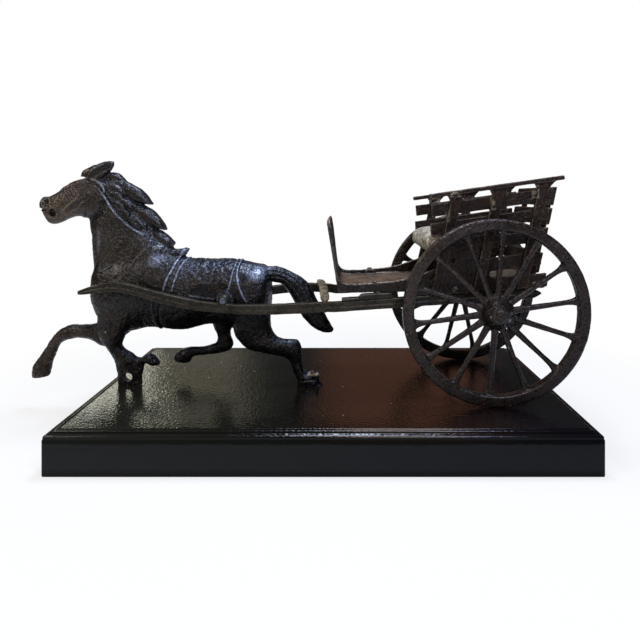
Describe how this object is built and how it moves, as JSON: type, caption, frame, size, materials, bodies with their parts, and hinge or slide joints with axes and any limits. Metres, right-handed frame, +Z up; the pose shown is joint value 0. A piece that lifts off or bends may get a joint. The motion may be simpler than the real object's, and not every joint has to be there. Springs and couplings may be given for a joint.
{
  "type": "toy horse and cart",
  "caption": "Cast iron toy: a running horse between the shafts of a two-wheeled farm cart with slatted sides, dash and seat, on a black lacquered wooden display board.",
  "frame": {"origin": "centre of the display board's underside", "axes": "+X from the horse towards the cart's tail, along the board's length; +Y to the horse's right; +Z up"},
  "size_m": [0.3771, 0.18, 0.1785],
  "materials": {
    "black_lacquered_wood": "glossy black lacquer with orange peel and dust",
    "horse_cast_iron": "dark brown-black patina, rubbed and pitted, blue-grey on the back",
    "shaft_cast_iron": "olive-brown worn patina",
    "cart_cast_iron": "dark brown patina with pale worn edges",
    "wheel_cast_iron": "brown-grey dull patina",
    "cream_painted_iron": "old mottled cream paint",
    "plain_steel": "plain steel screw"
  },
  "bodies": {
    "horse_on_board": {"display_board": "black_lacquered_wood", "mounting_screw_front": "plain_steel", "mounting_screw_rear": "plain_steel", "horse_left_half": "horse_cast_iron", "horse_right_half": "horse_cast_iron", "pivot_pin": "horse_cast_iron", "horse_front_rivet": "horse_cast_iron"},
    "cart": {"left_shaft": "shaft_cast_iron", "right_shaft": "shaft_cast_iron", "left_bolster": "shaft_cast_iron", "right_bolster": "shaft_cast_iron", "shaft_crossbar": "cream_painted_iron", "seat": "cream_painted_iron", "cart_floor": "cart_cast_iron", "left_rack": "cart_cast_iron", "right_rack": "cart_cast_iron", "tailgate": "cart_cast_iron", "left_body_rivet_front": "cart_cast_iron", "left_body_rivet_rear": "cart_cast_iron", "right_body_rivet_front": "cart_cast_iron", "right_body_rivet_rear": "cart_cast_iron", "left_rack_rivet_front": "cart_cast_iron", "left_rack_rivet_rear": "cart_cast_iron", "right_rack_rivet_front": "cart_cast_iron", "right_rack_rivet_rear": "cart_cast_iron", "axle": "wheel_cast_iron", "left_washer": "wheel_cast_iron", "right_washer": "wheel_cast_iron"},
    "left_wheel_body": {"left_wheel": "wheel_cast_iron"},
    "right_wheel_body": {"right_wheel": "wheel_cast_iron"}
  },
  "joints": [
    {"name": "cart_pivot", "type": "hinge", "parent": "horse_on_board", "child": "cart", "pos_m": [-0.068, 0, 0.0848], "axis": [0, -1, 0], "range_deg": [0, 12]},
    {"name": "left_wheel_spin", "type": "hinge", "parent": "cart", "child": "left_wheel_body", "pos_m": [0.1053, -0.051, 0.0821], "axis": [0, 1, 0], "continuous": true},
    {"name": "right_wheel_spin", "type": "hinge", "parent": "cart", "child": "right_wheel_body", "pos_m": [0.1053, 0.051, 0.0821], "axis": [0, 1, 0], "continuous": true}
  ]
}
